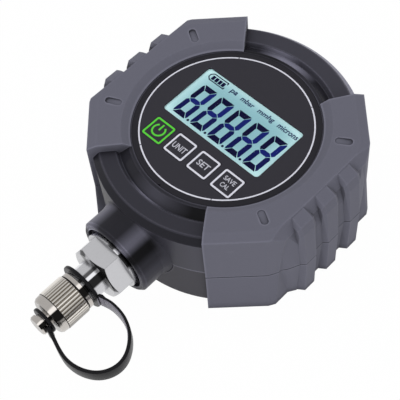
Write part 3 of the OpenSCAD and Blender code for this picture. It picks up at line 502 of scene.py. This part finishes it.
NODE_MATERIAL = [
    (M_HOUSING, ["front_housing"]),
    (M_REAR, ["rear_housing", "battery_door"]),
    (M_GRIP, ["front_left_grip", "front_right_grip", "rear_left_grip", "rear_right_grip"]),
    (M_OVERLAY, ["dial_overlay"] + KEY_BODIES),
    (M_WINDOW, ["display_window"]),
    (M_LCD, ["lcd_glass"]),
    (M_WHITE, ["lcd_backlight", "lcd_holder"]),
    (M_BOARD, ["main_board"]),
    (M_DARK, ["tact_switches", "board_parts"]),
    (M_STEEL, ["board_screws", "housing_screws", "door_screw", "battery_contacts"]),
    (M_METAL, ["port_fitting", "lock_nut", "pressure_sensor"]),
    (M_CAP, ["protective_cap"]),
    (M_SEAL, ["housing_seal", "port_gasket", "sensor_seal", "cap_seal"]),
    (M_LEAD, ["sensor_leads", "battery_leads"]),
    (M_CELL, ["battery_cells"]),
    (M_RUBBER, ["tether_neck_ring", "tether_band", "tether_cap_ring"]),
]
for m, names in NODE_MATERIAL:
    for name in names:
        slots = frame["nodes"][name].data.materials
        if len(slots):
            for i in range(len(slots)):
                slots[i] = m
        else:
            slots.append(m)


# ---- mesh helpers
def mesh_object(name, bm):
    bmesh.ops.recalc_face_normals(bm, faces=bm.faces)
    mesh = bpy.data.meshes.new(name)
    bm.to_mesh(mesh)
    bm.free()
    o = bpy.data.objects.new(name, mesh)
    scene.collection.objects.link(o)
    return o


def finish_piece(o, m, body, smooth=False):
    o.data.materials.clear()
    o.data.materials.append(m)
    for face in o.data.polygons:
        face.use_smooth = smooth
    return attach(o, body) if body else o


def piece(name, bm, m, body, smooth=False):
    """Visible piece of the mesh that was built, on a body of the frame."""
    return finish_piece(mesh_object(name, bm), m, body, smooth)


def skin(bm, rings, closed):
    """Faces between rings of as many points; closed joins the last ring to the first."""
    n, k = len(rings), len(rings[0])
    for i in range(n if closed else n - 1):
        a, b = rings[i], rings[(i + 1) % n]
        for j in range(k):
            q = (j + 1) % k
            bm.faces.new((a[j], a[q], b[q], b[j]))
    if not closed:
        bm.faces.new(rings[0][::-1])
        bm.faces.new(rings[-1])


def prism(bm, loop, z0, z1):
    """Closed plate over a simple outline, in millimetres."""
    skin(bm, [[bm.verts.new((x * MM, y * MM, z * MM)) for x, y in loop] for z in (z0, z1)], False)


def band(bm, outer, inner, z0, z1, closed=True):
    """Plate between two outlines of as many points; an open one gets end faces."""
    corners = ((outer, z0), (outer, z1), (inner, z1), (inner, z0))
    rings = [[bm.verts.new((loop[i][0] * MM, loop[i][1] * MM, z * MM)) for loop, z in corners]
             for i in range(len(outer))]
    skin(bm, rings, closed)


def arc(cx, cy, r, a0, a1, n):
    return [(cx + r * math.cos(math.radians(a0 + (a1 - a0) * i / n)),
             cy + r * math.sin(math.radians(a0 + (a1 - a0) * i / n))) for i in range(n + 1)]


def round_rect(cx, cy, w, h, r, n=4):
    out = []
    for sx, sy, a in ((1, 1, 0), (-1, 1, 90), (-1, -1, 180), (1, -1, 270)):
        out += arc(cx + sx * (w / 2 - r), cy + sy * (h / 2 - r), r, a, a + 90, n)
    return out


TEXT_SIZE, TEXT_HALF = 0.01, 0.00001  # drawn size and half thickness, in metres


def words(name, text, box, z, m, body, bold, slant=0.0):
    """Generic lettering that fills a box (x0, y0, x1, y1), in millimetres, as a thin plate."""
    curve = bpy.data.curves.new(name, "FONT")
    curve.body = text
    curve.size = TEXT_SIZE
    curve.extrude = TEXT_HALF
    curve.offset = bold
    curve.resolution_u = 4
    source = bpy.data.objects.new(name + "_curve", curve)
    scene.collection.objects.link(source)
    bpy.context.view_layer.update()
    shown = source.evaluated_get(bpy.context.evaluated_depsgraph_get())
    mesh = bpy.data.meshes.new_from_object(shown)
    bpy.data.objects.remove(source, do_unlink=True)
    for v in mesh.vertices:
        v.co.x += slant * v.co.y
    xs = [v.co.x for v in mesh.vertices]
    ys = [v.co.y for v in mesh.vertices]
    x0, y0, x1, y1 = [v * MM for v in box]
    left, low = min(xs), min(ys)
    sx = (x1 - x0) / (max(xs) - left)
    sy = (y1 - y0) / (max(ys) - low)
    for v in mesh.vertices:
        v.co = (x0 + (v.co.x - left) * sx, y0 + (v.co.y - low) * sy, v.co.z + z * MM)
    o = bpy.data.objects.new(name, mesh)
    scene.collection.objects.link(o)
    return finish_piece(o, m, body)


# ---- tether: the strap first, then the rings that hold it
def catmull(points, steps):
    """Smooth line through flat points, in steps per span."""
    out = []
    for i in range(len(points) - 1):
        a = Vector(points[max(i - 1, 0)])
        b = Vector(points[i])
        c = Vector(points[i + 1])
        d = Vector(points[min(i + 2, len(points) - 1)])
        for k in range(steps):
            u = k / steps
            out.append((2 * b + (c - a) * u + (2 * a - 5 * b + 4 * c - d) * u * u
                        + (3 * b - a - 3 * c + d) * u * u * u) / 2)
    out.append(Vector(points[-1]))
    return out


def polar(angle, r=1.0):
    return Vector((math.cos(math.radians(angle)), math.sin(math.radians(angle)))) * r


def station(bm, centre, along, section):
    """Ring of a section (side, up) at a flat point at the port's height, across a direction."""
    side = Vector((-along.y, along.x))
    return [bm.verts.new(((centre.x + side.x * s) * MM, (centre.y + side.y * s) * MM,
                          (PORT + u) * MM)) for s, u in section]


def strap_end(spec):
    return Vector((0, spec["y"])) + polar(spec["az"], spec["r"] + LUG_L + JOIN)


ROUTE = [strap_end(NECK), (13.2, -71), (17, -71.1), (20.8, -71.9), (24.8, -73.8), (28.1, -76.8),
         (30.4, -80.5), (31.1, -84.3), (30.2, -88), (28, -91.1), (24.8, -93.3), (21, -94.6),
         (16.8, -94.9), (12.6, -94.1), (9.1, -93), strap_end(CAP)]
line = catmull(ROUTE, 4)
directions = [(b - a).normalized() for a, b in zip(line, line[2:])]
directions = [polar(NECK["az"])] + directions + [-polar(CAP["az"])]
strap_section = round_rect(0, 0, STRAP_T, STRAP_W, STRAP_ROUND)
bm = bmesh.new()
skin(bm, [station(bm, p, d, strap_section) for p, d in zip(line, directions)], False)
strap = piece("tether_strap", bm, M_RUBBER, None, True)
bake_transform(strap)
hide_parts("tether_band")

RING_STEPS = 72
RING_ROUND = 0.45
LUG_ROOT, LUG_MIDDLE = 1.9, 1.5  # thickness where the lug leaves the ring, and about halfway


def rubber_ring(name, spec, replaced, body):
    """Flat ring with rounded edges about the port's axis, and the lug that takes the strap."""
    outer, inner, t = spec["r"], spec["bore"], spec["t"]
    profile = round_rect((outer + inner) / 2, spec["y"] + spec["shift"], outer - inner, t,
                         min(RING_ROUND, t * 0.3))
    bm = bmesh.new()
    rings = []
    for k in range(RING_STEPS):
        a = 2 * math.pi * k / RING_STEPS
        rings.append([bm.verts.new((r * math.cos(a) * MM, y * MM,
                                    (PORT + r * math.sin(a)) * MM)) for r, y in profile])
    skin(bm, rings, True)
    # lug: the strap's section, thicker towards the ring, from inside the ring outwards
    along = polar(spec["az"])
    rows = []
    for dist, thick, tall in (((inner + outer) / 2, t * 0.9, 0.94), (outer, LUG_ROOT, 1.0),
                              (outer + LUG_L * 0.55, LUG_MIDDLE, 1.0),
                              (outer + LUG_L + 0.04, STRAP_T, 1.0)):
        section = round_rect(0, 0, thick, STRAP_W * tall, min(STRAP_ROUND, thick * 0.33))
        rows.append(station(bm, Vector((0, spec["y"])) + along * dist, along, section))
    skin(bm, rows, False)
    o = piece(name, bm, M_RUBBER, body, True)
    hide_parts(replaced)


rubber_ring("neck_ring", NECK, "tether_neck_ring", "instrument")
rubber_ring("cap_ring", CAP, "tether_cap_ring", "cap_carrier")

# ---- printing on the dial: ring, key outlines and legends
PRINT0, PRINT1 = DIAL + 0.005, DIAL + 0.025
PRINT_MID = (PRINT0 + PRINT1) / 2
RING_HALF = 0.27
RING_BREAKS = [56.8, 125.0, 237.0, 304.0, 416.8]
BREAK_HALF = 0.33
bm = bmesh.new()
for a, b in zip(RING_BREAKS, RING_BREAKS[1:]):
    outer, inner = [arc(0, 0, r, a + BREAK_HALF, b - BREAK_HALF, int((b - a) / 2))
                    for r in (RING_R + RING_HALF, RING_R - RING_HALF)]
    band(bm, outer, inner, PRINT0, PRINT1, closed=False)
piece("dial_ring_print", bm, M_PALE, "instrument")

KEY_OUTER, KEY_INNER = (8.75, 0.8), (7.35, 0.3)  # each outline's width and corner radius
for x, body in zip(KEY_X, KEY_BODIES):
    bm = bmesh.new()
    outer, inner = [round_rect(x, KEY_Y, w, w, r) for w, r in (KEY_OUTER, KEY_INNER)]
    band(bm, outer, inner, PRINT0, PRINT1)
    piece(body + "_outline", bm, M_GREEN if body == "power_key" else M_PALE, body)

SYMBOL_SHIFT = 0.1
SYMBOL_R, SYMBOL_ARC = (2.75, 2.08), (127, 413)
STROKE_HALF, STROKE_H = 0.33, 2.8
bm = bmesh.new()
x, y = KEY_X[0] - SYMBOL_SHIFT, KEY_Y + SYMBOL_SHIFT
outer, inner = [arc(x, y, r, *SYMBOL_ARC, 36) for r in SYMBOL_R]
band(bm, outer, inner, PRINT0, PRINT1, closed=False)
prism(bm, [(x - STROKE_HALF, y), (x + STROKE_HALF, y), (x + STROKE_HALF, y + STROKE_H),
           (x - STROKE_HALF, y + STROKE_H)], PRINT0, PRINT1)
piece("power_symbol", bm, M_GREEN, "power_key")

LEGEND_BOLD = 0.00015
# each legend's half width, and its lower and upper edge from the keys' middle line
for name, text, key, half, low, high in (("unit_legend", "UNIT", 1, 3.0, -1.65, 0.85),
                                         ("set_legend", "SET", 2, 2.6, -1.25, 1.2),
                                         ("save_legend", "SAVE", 3, 2.5, 0.45, 2.35),
                                         ("cal_legend", "CAL", 3, 1.8, -2.3, -0.4)):
    box = (KEY_X[key] - half, KEY_Y + low, KEY_X[key] + half, KEY_Y + high)
    words(name, text, box, PRINT_MID, M_TEXT, KEY_BODIES[key], LEGEND_BOLD)

# ---- display: seven-segment digits, battery bars and unit words
INK0, INK1 = CELL_TOP + 0.008, CELL_TOP + 0.028
INK_MID = (INK0 + INK1) / 2
DIGITS = 5
DIGIT_X, DIGIT_Y = -20.0, -7.55  # lower left corner of the first digit
PITCH = 8.5
SLANT = 0.0625
W, H = 6.65, 16.24  # of one digit
TH, TV = 2.25, 1.96  # thickness of the level and of the upright segments
MID = H / 2
POINT_X, POINT_Y, POINT_R = (-12.35, -3.85, 4.65, 13.0), -7.0, 0.5


def segments():
    """Outlines of one digit: top, upper left, middle, upper right, bottom, lower left and right."""
    top = [(0.5, H), (W - 0.5, H), (W - TV - 0.15, H - TH), (TV + 0.15, H - TH)]
    left = [(0, H - 1.05), (0.4, H - 0.4), (TV, H - TH - 0.08), (TV, MID + 1.16),
            (0.72, MID + 0.22), (0, MID + 1.1)]
    mid = [(0.85, MID), (TV + 0.1, MID + 1.0), (W - TV - 0.1, MID + 1.0), (W - 0.85, MID),
           (W - TV - 0.1, MID - 1.0), (TV + 0.1, MID - 1.0)]
    right = [(W - x, y) for x, y in left]
    return [top, left, mid, right] + [[(x, H - y) for x, y in s] for s in (top, left, right)]


# each group of segments wears one of the lit and shaded copies of the one ink: painted light
for tag, ink, parts in (("dark", M_NAVY, (0, 1, 4)), ("mid", M_INK_HALF_LIT, (5, 6)),
                        ("light", M_INK_LIT, (2, 3))):
    bm = bmesh.new()
    shapes = segments()
    for k in range(DIGITS):
        for i in parts:
            prism(bm, [(DIGIT_X + PITCH * k + x + SLANT * y, DIGIT_Y + y) for x, y in shapes[i]],
                  INK0, INK1)
    if tag == "dark":
        for x in POINT_X:
            prism(bm, arc(x, POINT_Y, POINT_R, 0, 330, 11), INK0, INK1)
    piece("display_digits_" + tag, bm, ink, "instrument")

BAR_W, BAR_Y0, BAR_Y1 = 1.3, 11.85, 13.8
bm = bmesh.new()
for x in (-19.4, -17.75, -16.1, -14.5):
    prism(bm, [(x, BAR_Y0), (x + BAR_W, BAR_Y0), (x + BAR_W, BAR_Y1), (x, BAR_Y1)], INK0, INK1)
outer = [(-12.5, 12.1), (-12.5, 11.15), (-19.65, 11.15), (-20.8, 12.2), (-20.8, 13.6),
         (-19.65, 14.7), (-12.5, 14.7), (-12.5, 13.6)]
inner = [(-12.9, 12.1), (-12.9, 11.55), (-19.45, 11.55), (-20.4, 12.4), (-20.4, 13.4),
         (-19.45, 14.3), (-12.9, 14.3), (-12.9, 13.6)]
band(bm, outer, inner, INK0, INK1, closed=False)
piece("display_battery", bm, M_NAVY, "instrument")

UNIT_BOLD, UNIT_SLANT = 0.0002, 0.1
for text, box in (("pa", (-10.15, 11.5, -7.0, 13.7)), ("mbar", (-4.75, 11.8, 1.3, 13.9)),
                  ("mmhg", (3.45, 11.2, 11.0, 13.9)), ("microns", (13.0, 11.6, 22.15, 13.75))):
    words("unit_" + text, text, box, INK_MID, M_INK_HALF_LIT, "instrument", UNIT_BOLD, UNIT_SLANT)

# ---- floor, world and lamps
FLOOR_HALF = 2500.0
FLOOR_BOTTOM, FLOOR_TOP = -10.0, -0.02
PAPER, PAPER_SEEN = (0.8, 0.8, 0.8, 1), 0.985  # as the light meets it, and as the camera sees it


def seen_white(nt, share):
    """Factor that is the given share for camera, glossy and transmission rays, else 0."""
    rays = node(nt, "ShaderNodeLightPath").outputs
    seen = calc(nt, "MAXIMUM", rays["Is Camera Ray"], rays["Is Glossy Ray"])
    seen = calc(nt, "MAXIMUM", seen, rays["Is Transmission Ray"])
    return calc(nt, "MULTIPLY", seen, share)


bm = bmesh.new()
prism(bm, [(-FLOOR_HALF, -FLOOR_HALF), (FLOOR_HALF, -FLOOR_HALF), (FLOOR_HALF, FLOOR_HALF),
           (-FLOOR_HALF, FLOOR_HALF)], FLOOR_BOTTOM, FLOOR_TOP)
floor = mesh_object("floor", bm)
paper = bpy.data.materials.new("floor_paper")
paper.use_nodes = True
nt = paper.node_tree
nt.nodes.remove(nt.nodes["Principled BSDF"])
diffuse = node(nt, "ShaderNodeBsdfDiffuse", {"Color": PAPER})
white = node(nt, "ShaderNodeEmission", {"Color": WHITE, "Strength": 1.0})
mixed = node(nt, "ShaderNodeMixShader", {0: seen_white(nt, PAPER_SEEN),
                                         1: diffuse.outputs["BSDF"],
                                         2: white.outputs["Emission"]})
nt.links.new(mixed.outputs["Shader"], nt.nodes["Material Output"].inputs["Surface"])
floor.data.materials.append(paper)

WORLD_LIGHT, WORLD_SEEN = 0.5, 1.0
world = bpy.data.worlds.new("world")
scene.world = world
world.use_nodes = True
nt = world.node_tree
background = nt.nodes["Background"]
background.inputs["Color"].default_value = WHITE
nt.links.new(mix_value(nt, seen_white(nt, 1.0), WORLD_LIGHT, WORLD_SEEN),
             background.inputs["Strength"])

LAMP_AIM = Vector((0, -0.02, 0.02))


def lamp(name, place, size, power):
    data = bpy.data.lights.new(name, "AREA")
    data.shape = "SQUARE"
    data.size = size
    data.energy = power
    o = bpy.data.objects.new(name, data)
    o.visible_glossy = False
    scene.collection.objects.link(o)
    place = Vector(place)
    aim = (LAMP_AIM - place).to_track_quat("-Z", "Y")
    o.matrix_world = Matrix.Translation(place) @ aim.to_matrix().to_4x4()


lamp("key_light", (-0.5, -0.2, 1.2), 1.0, 8.0)
lamp("fill_light", (1.0, -0.9, 0.45), 1.0, 7.5)
lamp("rim_light", (0.2, 1.2, 0.7), 0.8, 3.0)

# ---- view transform
scene.view_settings.view_transform = "Standard"
